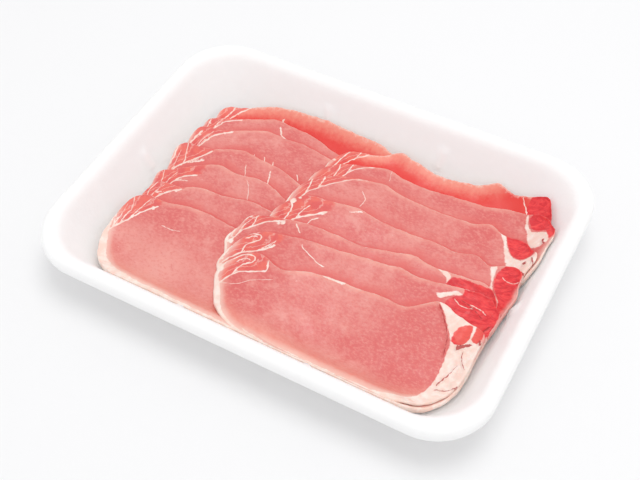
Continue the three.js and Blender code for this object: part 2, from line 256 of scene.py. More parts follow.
# Round knobs of fat: x, y and radius.
LEFT_KNOBS = [
    [(-99.5, -42, 1.2), (-84.5, -25.5, 1.1)], [(-81, -9.5, 1.0)], [], [(-81, 15, 0.7)],
    [(-92.5, 31, 1.0), (-81, 38.5, 0.8)], [(-92.5, 42, 0.6)], [(-84, 57, 0.6)],
]
RIGHT_KNOBS = [
    [(-9.8, -34, 0.7), (-31, -44.2, 1.7)],
    [(-32.5, -42.3, 2.0), (-34, -38, 0.8), (-13.5, -21.5, 0.7)],
    [(-39.3, -27, 1.9), (-36, -26.6, 1.3), (-37.8, -29.5, 1.2), (-17, -6.5, 1.2), (-19, -7.5, 0.8),
     (-35.5, -8, 1.0)],
    [(-2, 8, 1.0), (-20, 9, 1.7), (-17.5, 12, 0.9)],
    [(-15.5, 34, 0.5), (-21, 11, 1.2), (7, 39, 0.6)],
    [(-12.5, 22, 0.4), (-17, 47, 0.8)], [(-17, 48, 0.8)],
]

# Redder places of the eye (above 0) and paler ones (below 0): x, y, amount and spread.
LEFT_TONES = [(-62, -54, -0.8, 20), (-24, -50, -0.65, 18), (-45, 3, -0.5, 9), (-88, -44, -0.5, 12)]
RIGHT_TONES = [
    (73, -40, 1.6, 21), (74, -12, 1.1, 12), (91, -22, -4.0, 6), (80, 64, 1.0, 12), (-12, -62, 0.4, 12),
    (56, -6, 0.7, 13), (78, 22, 0.8, 9), (0, 42, 0.7, 8), (0, -20, 0.6, 9), (42, 20, -0.6, 9),
    (40, 42, -0.4, 9), (40, -60, -0.3, 12),
]

# Where the fat rim is wider than elsewhere: x, y, extra width and spread.
LEFT_STRIPS = [(-96, -56, 2.8, 12), (-82, -69, 3.4, 14), (-52, -73, 0.8, 20)]
RIGHT_STRIPS = [(-27, -57, 2.8, 11), (84, -66, 2.6, 16)]

# The right end of each right-hand slice, front to rear: an area of fat, dark muscles on it,
# and cracks in it, which are given as seams are.
RIGHT_ENDS = [
    {
        "fat": [(69, -8), (76, -15), (81, -21.5), (85.5, -28), (87, -37), (87.5, -47), (86, -56), (81, -64),
                (72, -71), (92, -76), (110, -50), (108, -14), (90, -10), (78, -8)],
        "muscles": [
            [(85.5, -28), (85.5, -23), (87.5, -18.5), (91.8, -17), (93.2, -22.5), (92, -27.5), (89, -29)],
            [(94, -17), (99, -17.5), (101, -21.5), (98, -25.5), (94.4, -24)],
        ],
        "cracks": [
            (1.2, 0.6, [(90.5, -30.5), (92.5, -28.5), (95.5, -27)]), (0.5, 0.3, [(98.5, -24), (99, -26)]),
            (0.3, 0.12, [(89.5, -51), (92, -45), (94, -39)]), (0.2, 0.1, [(90, -54), (95, -52.5), (99, -48)]),
            (0.2, 0.1, [(93.5, -31.5), (95, -36), (98, -40)]), (0.3, 0.15, [(73, -13), (79, -20), (84, -28)]),
            (0.15, 0.1, [(84, -28), (86, -37)]),
        ],
    },
    {
        "fat": [(68, -7), (71, -5.5), (74, -3.4), (76.5, -1.6), (80, -2), (79, -3), (76, -4.6), (73.5, -6.6),
                (71, -8.2)],
        "muscles": [[(74, -9), (77, -4.5), (80.5, -2.5), (80, 6), (94, 6), (104, 4), (108, -8), (106, -18),
                     (98, -20), (90, -24), (80, -20)]],
        "cracks": [(0.3, 0.15, [(81, -5), (87, -6.5), (93, -10)]), (0.6, 0.3, [(99, -14), (97, -19)])],
    },
    {
        "fat": [(58, 9), (63, 7.8), (68, 7.4), (71, 4.5), (73, -1), (70.5, 0.5), (68.5, 4), (64, 6.2)],
        "muscles": [[(70, 1), (72, 5.5), (80, 7), (91, 7), (98, 5), (101, -3), (90, -10), (72, -8)]],
        "cracks": [],
    },
    {
        "fat": [(84.5, 21.5), (88.5, 21), (89.3, 14), (91, 9), (95, 4.5), (99, 1), (97, -1), (94, 2),
                (90.2, 7.5), (88.3, 14)],
        "muscles": [[(90, 14), (90.5, 20), (96.5, 24.5), (101, 20), (105, 12), (107, 4), (103, -8), (98, -4),
                     (96, 3.5), (92, 9)]],
        "cracks": [],
    },
    {
        "fat": [(81.5, 43.5), (84, 43), (87.5, 36.5), (91.5, 31), (97, 28), (101, 29.5), (106, 34), (111, 26),
                (108, 12), (97, 14), (92.5, 23), (89.5, 28), (86, 36)],
        "muscles": [[(84.5, 43), (90, 47.5), (96, 46.5), (100, 41), (105, 38), (101.5, 30.5), (97, 28.8),
                     (92, 31), (88, 36.5)]],
        "cracks": [
            (0.6, 0.5, [(100, 25.5), (100.6, 25)]), (0.9, 0.5, [(99, 20.5), (102, 19)]),
            (0.5, 0.4, [(102, 14.5), (102.6, 14)]), (0.3, 0.1, [(103, 28), (105, 22), (104, 17)]),
        ],
    },
    {
        "fat": [(89, 59.5), (90.3, 57.5), (92, 53), (95.5, 49.5), (101.5, 49), (105, 45), (104, 40),
                (99, 38.5), (96, 42), (93.5, 47.5), (90.6, 53)],
        "muscles": [[(90.5, 57), (94.5, 61), (103, 59), (110, 52), (111, 44), (105.5, 43.5), (103.5, 47),
                     (101, 50), (95.5, 50.5), (92.5, 53.5)]],
        "cracks": [(0.5, 0.3, [(103, 43), (104, 40.5)])],
    },
    {
        "fat": [],
        "muscles": [[(86.5, 63), (88, 70), (93, 76), (100, 72), (107, 63), (108, 54), (98, 52), (92, 57)]],
        "cracks": [],
    },
]

NX = round(FIELD_LENGTH / CELL) + 1
NY = round(FIELD_WIDTH / CELL) + 1
GRID_X = np.arange(NX) * CELL - FIELD_LENGTH / 2
GRID_Y = np.arange(NY) * CELL - FIELD_WIDTH / 2


# --------------------------------------------------------------------- helpers
def smooth_step(low, high, value):
    share = np.clip((value - low) / (high - low), 0, 1)
    return share * share * (3 - 2 * share)


def smooth_line(points, steps):
    """A curve through the points, with so many steps between two of them."""
    points = np.array(points, float)
    padded = np.vstack([2 * points[0] - points[1], points, 2 * points[-1] - points[-2]])
    line = []
    for k in range(len(points) - 1):
        a, b, c, d = padded[k:k + 4]
        for t in np.arange(steps) / steps:
            line.append(0.5 * (2 * b + (c - a) * t + (2 * a - 5 * b + 4 * c - d) * t ** 2
                               + (3 * b - a - 3 * c + d) * t ** 3))
    return np.array(line + [points[-1]])


def line_distance(x, y, line):
    """Distance to a line of points, the share along it, and the side, + to its left."""
    best = np.full(x.shape, 1e9)
    share = np.zeros(x.shape)
    side = np.zeros(x.shape)
    count = len(line) - 1
    for k in range(count):
        (ax, ay), (bx, by) = line[k], line[k + 1]
        dx, dy = bx - ax, by - ay
        t = np.clip(((x - ax) * dx + (y - ay) * dy) / (dx * dx + dy * dy), 0, 1)
        gap = np.hypot(x - ax - t * dx, y - ay - t * dy)
        nearer = gap < best
        best = np.where(nearer, gap, best)
        share = np.where(nearer, (k + t) / count, share)
        side = np.where(nearer, np.sign((y - ay) * dx - (x - ax) * dy), side)
    return best, share, side


def wobble(s, seed, period):
    """A smooth seeded wander between about -1 and 1."""
    rng = np.random.default_rng(seed)
    total = np.zeros_like(s)
    for k in range(1, 5):
        total += np.sin(2 * np.pi * k * s / period + rng.uniform(0, 2 * np.pi)) / k
    return total / 2


def attribute(mesh, name, values):
    mesh.attributes.new(name, "FLOAT", "POINT").data.foreach_set("value", np.asarray(values, np.float32))


def mesh_object(name, vertices, faces):
    mesh = bpy.data.meshes.new(name)
    mesh.from_pydata((np.asarray(vertices) * MM).tolist(), [], faces)
    mesh.update()
    piece = bpy.data.objects.new(name, mesh)
    bpy.context.scene.collection.objects.link(piece)
    return piece


# ---------------------------------------------------------------- height field
def edge_distance(x, y, inset):
    radius = CORNER_RADIUS - CORNER_SHRINK * inset
    qx = np.abs(x) - (TRAY_LENGTH / 2 - inset - radius)
    qy = np.abs(y) - (TRAY_WIDTH / 2 - inset - radius)
    outside = np.hypot(np.maximum(qx, 0), np.maximum(qy, 0))
    return outside + np.minimum(np.maximum(qx, qy), 0) - radius


def tray_height(x, y):
    section = [[4.0, LIP_TOP]] + LIP_INNER + INNER_WALL + FLOOR_FILLET
    height = np.full(x.shape, FLOOR_TOP)
    outer = edge_distance(x, y, section[-1][0])
    for k in range(len(section) - 2, -1, -1):
        inner = outer
        outer = edge_distance(x, y, section[k][0])
        inside_band = (inner > 0) & (outer <= 0)
        blend = np.clip(outer / np.where(outer == inner, 1, outer - inner), 0, 1)
        band = section[k][1] + (section[k + 1][1] - section[k][1]) * blend
        height = np.where(inside_band, band, height)
    return np.where(outer > 0, LIP_TOP, height)


def parabola_pass(field, radius, sign, axis):
    reach = math.ceil(min(REACH, 7 * math.sqrt(radius)) / CELL)
    result = field.copy()
    count = field.shape[axis]
    for k in range(-reach, reach + 1):
        index = np.clip(np.arange(count) + k, 0, count - 1)
        moved = np.take(field, index, axis=axis) - sign * (k * CELL) ** 2 / (2 * radius)
        result = np.maximum(result, moved) if sign > 0 else np.minimum(result, moved)
    return result


def soften(field, cells):
    """A soft average over so many cells each way."""
    for axis in (0, 1, 0, 1):
        count = field.shape[axis]
        total = np.zeros_like(field)
        for k in range(-cells, cells + 1):
            total += np.take(field, np.clip(np.arange(count) + k, 0, count - 1), axis=axis)
        field = total / (2 * cells + 1)
    return field


def drape(pile, walls, radius):
    sheet = parabola_pass(pile, EDGE_RADIUS, 1, 0)
    sheet = parabola_pass(sheet, EDGE_RADIUS, 1, 1)
    sheet = np.maximum(sheet, walls)
    for sign in (1, -1):
        sheet = parabola_pass(sheet, radius, sign, 0)
        sheet = parabola_pass(sheet, radius, sign, 1)
    return sheet


def smooth_inside(field, inside, cells):
    """A soft average over the cells inside an outline, which keeps an even slope as it is."""
    share = inside + 0.002
    weight = soften(share, cells)

    def mean(values):
        return soften(values * share, cells) / weight

    x, y = np.meshgrid(GRID_X, GRID_Y)
    slope_y, slope_x = np.gradient(field, CELL)
    return mean(field) + mean(slope_x) * (x - mean(x)) + mean(slope_y) * (y - mean(y))


def rest_height(pile, walls, radius, inside):
    """Where a slice's underside lies: smooth, and pressed a little into what is below."""
    smooth = smooth_inside(drape(pile, walls, radius), inside, SOFT_CELLS)
    lowest = np.maximum(pile - SINK, walls)
    rest = np.maximum(smooth, lowest)
    near_front = smooth_step(-60, -68, np.meshgrid(GRID_X, GRID_Y)[1])
    capped = np.maximum(np.minimum(rest, FRONT_TOP), walls)
    return soften(rest + (capped - rest) * near_front, 2) + SLICE_GAP


def sample(field, x, y):
    """The field's height at points, on a smooth surface through its cells."""
    u = np.clip((x - GRID_X[0]) / CELL, 1, NX - 3.001)
    v = np.clip((y - GRID_Y[0]) / CELL, 1, NY - 3.001)
    i = np.floor(u).astype(int)
    j = np.floor(v).astype(int)

    def weights(t):
        return (0.5 * (-t + 2 * t ** 2 - t ** 3), 0.5 * (2 - 5 * t ** 2 + 3 * t ** 3),
                0.5 * (t + 4 * t ** 2 - 3 * t ** 3), 0.5 * (t ** 3 - t ** 2))

    height = np.zeros(x.shape)
    for b, down in enumerate(weights(v - j)):
        for a, across in enumerate(weights(u - i)):
            height += down * across * field[j + b - 1, i + a - 1]
    return height


def waves(x, y, seed):
    a = np.sin(x / 17 + seed * 1.7) * np.cos(y / 13 - seed * 0.9)
    b = np.sin((x - y) / 23 + seed * 2.3)
    return LIFT * (2 + a + b) / 4


# --------------------------------------------------------------- slice outline
def corner_cut(distance, corner):
    away = np.clip(1 - distance / corner[0], 0, 1)
    return corner[1] * (1 - np.sqrt(np.maximum(0, 1 - away * away)))


def back_edge(row, k, x):
    left, right = row["left"][k], row["right"][k]
    y = row["back"][k] + row["slant"][k] * (x - (left + right) / 2) / 100
    y = y - corner_cut(x - left, row["back_left"][k]) - corner_cut(right - x, row["back_right"])
    return y + row["heel"][k] * np.exp(-(((right - HEEL_FROM_END - x) / HEEL_SPREAD) ** 2))


def front_edge(row, k, x):
    left, right = row["left"][k], row["right"][k]
    y = row["back"][k] - row["depth"][k]
    y = y + corner_cut(x - left, row["front_left"][k])
    return y + corner_cut(right - x, row["front_right"])


HALF_STEPS = 280                 # steps along each half of a slice's outline
OUTLINE_STEP = 0.6               # about the length of such a step
OUTLINE_INSET = 0.3              # draws the wandering outline a little inward
SPINE_SHORTER = 0.42             # how far the spine stays from each end, as a share of the depth


def half_outline(row, k, edge):
    """Points from the middle of the left end to the middle of the right end."""
    left, right = row["left"][k], row["right"][k]
    turn = np.linspace(0, np.pi, 4001)
    x = left + (right - left) * (1 - np.cos(turn)) / 2
    x = x[back_edge(row, k, x) - front_edge(row, k, x) > 0.2]
    left, right = x[0], x[-1]
    y = edge(row, k, x)
    ends = [(back_edge(row, k, np.array(e)) + front_edge(row, k, np.array(e))) / 2 for e in (left, right)]
    x = np.concatenate([[left], x, [right]])
    y = np.concatenate([[ends[0]], y, [ends[1]]])
    run = np.concatenate([[0], np.cumsum(np.hypot(np.diff(x), np.diff(y)))])
    even = np.linspace(0, run[-1], HALF_STEPS + 1)
    return np.stack([np.interp(even, run, x), np.interp(even, run, y)], 1)


def soft_spots(x, y, spots):
    """The sum of soft round spots, each given as x, y, amount and spread."""
    total = np.zeros(len(x))
    for spot_x, spot_y, amount, spread in spots:
        total += amount * np.exp(-((x - spot_x) ** 2 + (y - spot_y) ** 2) / spread ** 2)
    return total


def slice_outline(row, k, swells, seed):
    """The closed outline, for each of its points the point of the spine it faces, and the rear edge."""
    back = half_outline(row, k, back_edge)
    front = half_outline(row, k, front_edge)
    reach = SPINE_SHORTER * row["depth"][k]
    middle = (back + front) / 2
    low = np.argmax(middle[:, 0] > row["left"][k] + reach)
    high = len(middle) - 1 - np.argmax(middle[::-1, 0] < row["right"][k] - reach)
    spine = middle[np.clip(np.arange(len(middle)), low, high)]
    loop = np.concatenate([back, front[-2:0:-1]])
    faced = np.concatenate([spine, spine[-2:0:-1]])
    run = np.arange(len(loop)) * OUTLINE_STEP
    inward = faced - loop
    inward /= np.hypot(*inward.T)[:, None]
    period = len(loop) * OUTLINE_STEP
    drift = 0.28 * wobble(run, seed, period / 9) + 0.16 * wobble(run, seed + 50, period / 41)
    push = soft_spots(loop[:, 0], loop[:, 1], swells)
    loop = loop + inward * (drift + OUTLINE_INSET - push)[:, None]
    rear = loop[:len(back)]
    return loop, faced, rear[np.argsort(rear[:, 0])]


def cells_inside(loop):
    """The cells of the height field that are inside a closed outline."""
    inside = np.zeros((NY, NX), bool)
    ahead = np.roll(loop, -1, 0)
    for j, y in enumerate(GRID_Y):
        crossing = (loop[:, 1] <= y) != (ahead[:, 1] <= y)
        a, b = loop[crossing], ahead[crossing]
        places = np.sort(a[:, 0] + (y - a[:, 1]) / (b[:, 1] - a[:, 1]) * (b[:, 0] - a[:, 0]))
        for start, end in zip(places[::2], places[1::2]):
            inside[j] |= (GRID_X >= start) & (GRID_X <= end)
    return inside


RIM_STEPS = [0, 0.07, 0.2, 0.42, 0.75, 1.2, 1.8]
INNER_STEPS = 40
EDGE_SAG = 0.85                  # how much of the room under its edge a slice fills
MOST_SAG = 6.0
RIM_ROUND = 0.85                 # how far in from its edge a slice reaches full thickness


def ring_steps(inner_steps):
    return len(RIM_STEPS) + inner_steps


def ring_points(loop, faced, inner_steps):
    """Rings from the outline in to the spine: points and their depth from the edge."""
    away = faced - loop
    length = np.hypot(*away.T)
    away = away / length[:, None]
    rings = []
    depths = []
    for k in range(ring_steps(inner_steps)):
        if k < len(RIM_STEPS):
            depth = np.full(len(loop), RIM_STEPS[k])
        else:
            share = (k - len(RIM_STEPS) + 1) / (inner_steps + 0.6)
            depth = RIM_STEPS[-1] + (length - RIM_STEPS[-1]) * share
        rings.append(loop + away * depth[:, None])
        depths.append(depth)
    return np.array(rings), np.array(depths)


# ------------------------------------------------------------ fat and seams
FAR = 20.0                       # the distance given where there is nothing near
STROKE_STEPS = 6                 # finer steps between two points of a seam
BEYOND = 99.0                    # the same, where a slice doesn't have the place at all
RIM_FAT = 0.32
FRONT_RIM_FAT = 1.2
FINGER_PAST_TRUNK = 3.0          # how far the left end's muscle goes on past its first seam
FINGER_TAPER = 0.35


def nearest_stroke(x, y, strokes, seed, ragged=0.12):
    """Signed distance to the nearest stroke's middle, plain distance, and its half width."""
    rng = np.random.default_rng(seed)
    across = np.full(x.shape, FAR)
    plain = np.full(x.shape, FAR)
    width = np.full(x.shape, 0.2)
    for start, end, points in strokes:
        line = smooth_line(points, STROKE_STEPS)
        line[1:-1] += rng.normal(0, ragged, line[1:-1].shape)
        gap, share, side = line_distance(x, y, line)
        half = (start + (end - start) * share) * (1 + 0.3 * np.sin(share * 31 + seed))
        nearer = gap - half < plain - width
        across = np.where(nearer, gap * side, across)
        plain = np.where(nearer, gap, plain)
        width = np.where(nearer, half, width)
    return across, plain, width


def inside_distance(x, y, points):
    """Signed distance to a smooth closed outline, below 0 inside."""
    if not points:
        return np.full(x.shape, FAR)
    loop = smooth_line(points + points[:1], STROKE_STEPS)
    gap, _, _ = line_distance(x, y, loop)
    inside = np.zeros(x.shape, bool)
    for (ax, ay), (bx, by) in zip(loop[:-1], loop[1:]):
        if ay != by:
            crossing = (ay <= y) != (by <= y)
            inside ^= crossing & (x < ax + (y - ay) / (by - ay) * (bx - ax))
    return np.where(inside, -gap, gap)


def knob_distance(x, y, knobs):
    nearest = np.full(x.shape, FAR)
    for knob_x, knob_y, radius in knobs:
        nearest = np.minimum(nearest, np.hypot(x - knob_x, y - knob_y) - radius)
    return nearest


def finger_depth(x, y, trunk):
    """How far a point is on the outer side of a slice's first seam."""
    line = smooth_line(trunk, STROKE_STEPS)
    gap, _, side = line_distance(x, y, line)
    return np.minimum(gap * side, (line[-1][0] + FINGER_PAST_TRUNK - x) * FINGER_TAPER)


def rim_width(x, y, from_front, strips):
    """How wide the fat rim is: thin all round, wider at the front and in the given strips."""
    return RIM_FAT + FRONT_RIM_FAT * smooth_step(16, 0, from_front) + soft_spots(x, y, strips)


# ---------------------------------------------------------------- slice pieces
def slice_faces(count, rings, first):
    """Quads of one face, closed over the spine; the outline's two halves mirror."""
    faces = []
    for k in range(rings - 1):
        low = first + k * count
        for i in range(count):
            j = (i + 1) % count
            faces.append((low + i, low + j, low + count + j, low + count + i))
    low = first + (rings - 1) * count
    half = count // 2
    for i in range(half):
        a, b = low + i, low + i + 1
        c, d = low + (count - i - 1) % count, low + (count - i) % count
        if i == 0:
            faces.append((a, b, c))
        elif i == half - 1:
            faces.append((a, b, d))
        else:
            faces.append((a, b, c, d))
    return faces


def slice_heights(k, rearmost, pile, walls, inside):
    """The heights of a slice's underside and top, and the room left under it."""
    x, y = np.meshgrid(GRID_X, GRID_Y)
    radius = WALL_DRAPE_RADIUS if rearmost else DRAPE_RADIUS
    bottom = rest_height(pile, walls, radius, inside) + waves(x, y, k)
    rise = np.hypot(*np.gradient(bottom, CELL))
    top = bottom + SLICE_THICKNESS * np.minimum(STEEPEST, np.hypot(1, rise))
    room = soften(np.clip(bottom - np.maximum(pile, walls), 0, MOST_SAG), 2)
    return bottom, top, room


def slice_shell(loop, faced, bottom, top, room):
    """A slice's points and faces, and for each point its depth from the edge and 1 on the top side."""
    count = len(loop)
    vertices = []
    faces = []
    rims = []
    sides = []
    for face, inner in (("top", INNER_STEPS), ("bottom", INNER_STEPS // 3)):
        rings, depths = ring_points(loop, faced, inner)
        x, y = rings[:, :, 0].ravel(), rings[:, :, 1].ravel()
        depth = depths.ravel()
        half = 0.5 * np.sqrt(1 - (1 - np.minimum(1, depth / RIM_ROUND)) ** 2)
        sag = EDGE_SAG * sample(room, x, y) * smooth_step(7, 2, depth)
        low, high = sample(bottom, x, y) - sag, sample(top, x, y)
        middle = (low + high) / 2
        z = middle + (high - low) * half if face == "top" else middle - (high - low) * half
        points = np.stack([x, y, z], 1)
        if face == "top":
            faces += slice_faces(count, len(rings), 0)
            first = len(points)
            vertices.append(points)
        else:
            under = slice_faces(count, len(rings), first - count)
            merged = [tuple(v - first + count if v < first else v for v in f) for f in under]
            faces += [f[::-1] for f in merged]
            vertices.append(points[count:])
            depth = depth[count:]
        rims.append(depth)
        sides.append(np.full(len(depth), 1.0 if face == "top" else 0.0))
    return np.vstack(vertices), faces, np.concatenate(rims), np.concatenate(sides)


def slice_marks(x, y, rim, from_front, marks, first, seed):
    """Distances that place a slice's fat, seams, muscle and cracks."""
    end = marks["end"]
    seams = nearest_stroke(x, y, marks["seams"] + marks["veins"], seed)
    cracks = nearest_stroke(x, y, end["cracks"], seed)
    muscles = [inside_distance(x, y, muscle) for muscle in end["muscles"]]
    values = {
        "tone": soft_spots(x, y, marks["tones"]),
        "rim_fat": rim - rim_width(x, y, from_front, marks["strips"] if first else []),
        "finger": finger_depth(x, y, marks["seams"][0][2]),
        "knob": knob_distance(x, y, marks["knobs"]),
        "fat": inside_distance(x, y, end["fat"]),
        "muscle": np.min(muscles + [np.full(x.shape, FAR)], 0),
    }
    for name, strokes in (("seam", seams), ("crack", cracks)):
        for part, distance in zip(("_side", "_gap", "_half"), strokes):
            values[name + part] = distance
    return values


def build_slice(row, k, pile, walls, marks, seed, covering):
    """One slice as a closed mesh; covering is the rear edge of the slice in front."""
    loop, faced, rear = slice_outline(row, k, marks["swells"], seed)
    rearmost = k == len(row["left"]) - 1
    inside = cells_inside(loop)
    bottom, top, room = slice_heights(k, rearmost, pile, walls, inside)
    vertices, faces, rim, top_side = slice_shell(loop, faced, bottom, top, room)
    piece = mesh_object(row["name"] + str(k + 1) + "_cut", vertices, faces)
    pile[inside] = np.maximum(pile, top)[inside]

    x, y = vertices[:, 0], vertices[:, 1]
    from_front = y - np.interp(x, *half_outline(row, k, front_edge).T)
    from_rear = np.interp(x, *rear.T) - y
    nowhere = np.full(x.shape, BEYOND)
    values = slice_marks(x, y, rim, from_front, marks, k == 0, seed)
    values["rim"] = rim
    values["top_side"] = top_side
    values["from_front"] = from_front
    values["from_cover"] = np.full(x.shape, FAR) if covering is None else y - np.interp(x, *covering.T)
    values["climb"] = from_rear if rearmost else nowhere
    values["from_rear"] = nowhere if rearmost else from_rear
    for name, distance in values.items():
        attribute(piece.data, name, distance)
    return piece


# ------------------------------------------------------------------- materials
class Shader:
    """A small helper that adds nodes to one material and joins them."""

    def __init__(self, name):
        self.material = bpy.data.materials.new(name)
        self.material.use_nodes = True
        self.tree = self.material.node_tree
        self.tree.nodes.clear()
        self.shader = self.tree.nodes.new("ShaderNodeBsdfPrincipled")
        output = self.tree.nodes.new("ShaderNodeOutputMaterial")
        self.join(self.shader.outputs[0], output.inputs["Surface"])
        self.place = self.tree.nodes.new("ShaderNodeTexCoord").outputs["Object"]

    def join(self, source, target):
        self.tree.links.new(source, target)

    def fill(self, socket, value):
        if isinstance(value, bpy.types.NodeSocket):
            self.join(value, socket)
        elif value is not None:
            socket.default_value = value

    def math(self, operation, a, b=None, c=None):
        node = self.tree.nodes.new("ShaderNodeMath")
        node.operation = operation
        for socket, value in zip(node.inputs, (a, b, c)):
            self.fill(socket, value)
        return node.outputs[0]

    def noise(self, size_mm, detail=2.0, rough=0.5, place=None, distortion=0.0):
        node = self.tree.nodes.new("ShaderNodeTexNoise")
        node.inputs["Scale"].default_value = 1000 / size_mm
        node.inputs["Detail"].default_value = detail
        node.inputs["Roughness"].default_value = rough
        node.inputs["Distortion"].default_value = distortion
        self.join(place or self.place, node.inputs["Vector"])
        return node.outputs["Fac"]

    def beads(self, size_mm):
        node = self.tree.nodes.new("ShaderNodeTexVoronoi")
        node.inputs["Scale"].default_value = 1000 / size_mm
        self.join(self.place, node.inputs["Vector"])
        return node.outputs["Distance"]

    def moved(self, scale, offset=(0, 0, 0), turn=0.0):
        node = self.tree.nodes.new("ShaderNodeMapping")
        node.inputs["Scale"].default_value = scale
        node.inputs["Location"].default_value = offset
        node.inputs["Rotation"].default_value = (0, 0, math.radians(turn))
        self.join(self.place, node.inputs["Vector"])
        return node.outputs[0]

    def value(self, name):
        node = self.tree.nodes.new("ShaderNodeAttribute")
        node.attribute_name = name
        return node.outputs["Fac"]

    def step(self, value, low, high):
        node = self.tree.nodes.new("ShaderNodeMapRange")
        node.interpolation_type = "SMOOTHSTEP"
        self.fill(node.inputs["Value"], value)
        node.inputs["From Min"].default_value = low
        node.inputs["From Max"].default_value = high
        return node.outputs["Result"]

    def mix(self, share, a, b):
        node = self.tree.nodes.new("ShaderNodeMix")
        node.data_type = "RGBA"
        self.fill(node.inputs["Factor"], share)
        colours = [s for s in node.inputs if s.type == "RGBA"]
        self.fill(colours[0], a)
        self.fill(colours[1], b)
        return [s for s in node.outputs if s.type == "RGBA"][0]

    def tint(self, under, over, share, amount=1.0):
        """The colour under, with the colour over on it by a share times an amount."""
        return self.mix(self.math("MULTIPLY", share, amount), under, over)

    def bump(self, height, depth_mm, strength):
        node = self.tree.nodes.new("ShaderNodeBump")
        node.inputs["Distance"].default_value = depth_mm * MM
        node.inputs["Strength"].default_value = strength
        self.join(height, node.inputs["Height"])
        return node.outputs[0]


def linear(red, green, blue):
    """A colour as it is seen, 0 to 255, in the linear values that a shader takes."""
    seen = (red / 255, green / 255, blue / 255)
    return tuple(v / 12.92 if v <= 0.04045 else ((v + 0.055) / 1.055) ** 2.4 for v in seen) + (1.0,)


# Colours of the meat and its fat, as they are seen, with the colours of painted shade and painted highlights
# on the meat.
LEAN = linear(226, 134, 127)
LEAN_DEEP = linear(217, 102, 99)
LEAN_PALE = linear(234, 161, 151)
# Painted shade: the deeper red just behind the slice in front, where it covers this one.
LEAN_COVER_SHADE = linear(222, 98, 93)
# Painted highlight: the paler band along a slice's own rear edge.
LEAN_EDGE_HIGHLIGHT = linear(240, 172, 156)
LEAN_WARM = linear(239, 162, 142)
FLECK = linear(242, 196, 186)
# Painted shade in the crease where the rearmost slices meet the wall's foot.
CREASE_SHADE = linear(229, 60, 52)
# Painted light: pale orange where light shines through the rearmost slices' thin tops.
TOP_LIGHT_THROUGH = linear(242, 152, 133)
FINGER = linear(222, 80, 78)
FINGER_WARM = linear(234, 102, 86)
# The end muscle's reds; the fold pattern puts the deep one where the hollows hold painted shade.
MUSCLE_DEEP = linear(215, 34, 46)
MUSCLE = linear(240, 62, 66)
# Paler muscle where its tone is pale, and the painted highlight on its fold ridges.
MUSCLE_PALE_AND_HIGHLIGHT = linear(238, 106, 92)
CREAM_DEEP = linear(244, 216, 203)
CREAM = linear(250, 236, 227)
# Painted shade in the cracks of the end muscle.
CRACK_SHADE = linear(176, 26, 28)


def foam_material():
    m = Shader("foam")
    bead = m.beads(1.6)
    soft = m.noise(14, 3)
    tone = m.mix(m.step(soft, 0.35, 0.7), linear(252, 251, 250), linear(255, 254, 253))
    m.join(tone, m.shader.inputs["Base Color"])
    m.fill(m.shader.inputs["Roughness"], 0.55)
    m.fill(m.shader.inputs["Subsurface Weight"], 1.0)
    m.fill(m.shader.inputs["Subsurface Radius"], (1.0, 1.0, 1.0))
    m.fill(m.shader.inputs["Subsurface Scale"], 0.012)
    m.fill(m.shader.inputs["Specular IOR Level"], 0.35)
    m.join(m.bump(m.math("ADD", bead, soft), 0.12, 0.35), m.shader.inputs["Normal"])
    return m.material


def stroke_share(m, name, ragged, soft=0.16):
    """1 in the strokes whose distances are in the named attributes, 0 outside."""
    middle = m.math("ABSOLUTE", m.value(name + "_side"))
    apart = m.math("SUBTRACT", m.value(name + "_gap"), 0.35)
    edge = m.math("SUBTRACT", m.math("MAXIMUM", middle, apart), m.value(name + "_half"))
    return m.step(m.math("ADD", edge, ragged), soft, -soft)


def eye_colour(m, blotch, grain):
    """The eye: pink, with redder patches and a fine grain, warmer towards the front."""
    patch = m.noise(26, 2, 0.45)
    fleck = m.noise(2.4, 2, 0.6, m.moved((1.0, 1.5, 1.0), turn=25), 0.6)
    tone = m.value("tone")
    lean = m.mix(m.step(patch, 0.34, 0.66), LEAN_DEEP, LEAN)
    lean = m.tint(lean, LEAN_DEEP, m.step(blotch, 0.48, 0.68), 0.55)
    lean = m.tint(lean, LEAN_PALE, m.step(blotch, 0.48, 0.30), 0.5)
    lean = m.tint(lean, LEAN_DEEP, m.step(tone, 0.0, 1.0))
    lean = m.tint(lean, LEAN_PALE, m.step(tone, 0.0, -1.0))
    lean = m.tint(lean, LEAN_PALE, m.step(grain, 0.4, 0.75), 0.5)
    lean = m.tint(lean, LEAN_DEEP, m.step(grain, 0.5, 0.25), 0.5)
    lean = m.tint(lean, FLECK, m.step(fleck, 0.70, 0.80), 0.5)
    return m.tint(lean, LEAN_WARM, m.step(m.value("from_front"), 17.0, 0.0), 0.6)


def overlap_colour(m, lean, blotch):
    """Painted shade, a deeper red, just behind the slice in front, and a painted highlight, paler, along a
    slice's own rear edge.
    """
    # Painted shade: a deeper red band just behind the edge of the slice in front.
    cover = m.value("from_cover")
    wide_cover = m.math("MULTIPLY_ADD", blotch, 9.0, cover)
    strength = m.math("MULTIPLY_ADD", m.step(m.noise(34, 1, 0.4), 0.42, 0.58), 0.6, 0.4)
    shade = m.math("MULTIPLY", m.step(wide_cover, 12.0, 5.0), m.math("MULTIPLY", strength, 0.8))
    shade = m.math("MAXIMUM", shade, m.math("MULTIPLY", m.step(cover, 3.0, 1.0), 0.85))
    lean = m.mix(shade, lean, LEAN_COVER_SHADE)
    # Painted highlight: a paler band and a cream line along the slice's own rear edge.
    edge = m.math("MULTIPLY_ADD", blotch, 3.0, m.value("from_rear"))
    lean = m.tint(lean, LEAN_EDGE_HIGHLIGHT, m.step(edge, 5.5, 1.5), m.math("MULTIPLY", strength, 0.6))
    return m.tint(lean, CREAM_DEEP, m.step(edge, 2.4, 1.4), m.math("MULTIPLY", strength, 0.35))


